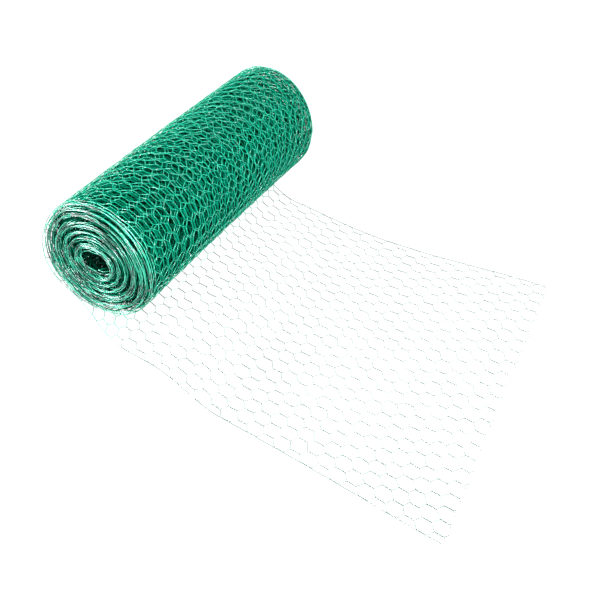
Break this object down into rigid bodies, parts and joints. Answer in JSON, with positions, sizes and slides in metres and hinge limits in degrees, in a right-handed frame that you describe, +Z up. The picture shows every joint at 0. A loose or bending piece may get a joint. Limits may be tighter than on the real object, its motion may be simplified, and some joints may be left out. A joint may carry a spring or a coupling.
{
  "type": "roll of chicken wire",
  "caption": "Roll of green coated hexagonal wire netting lying on its side, open through its core, with its outer end run out flat.",
  "frame": {"origin": "middle of the rectangle that the roll and its free end cover on the ground, at ground level", "axes": "+Y along the roll's core, +X the way the free end runs out, +Z up"},
  "size_m": [0.8599, 0.68, 0.24],
  "materials": {
    "coated_wire": "glossy green coating over thin twisted steel wire"
  },
  "bodies": {
    "root": {"wound_roll": "coated_wire", "free_end": "coated_wire"}
  },
  "joints": []
}
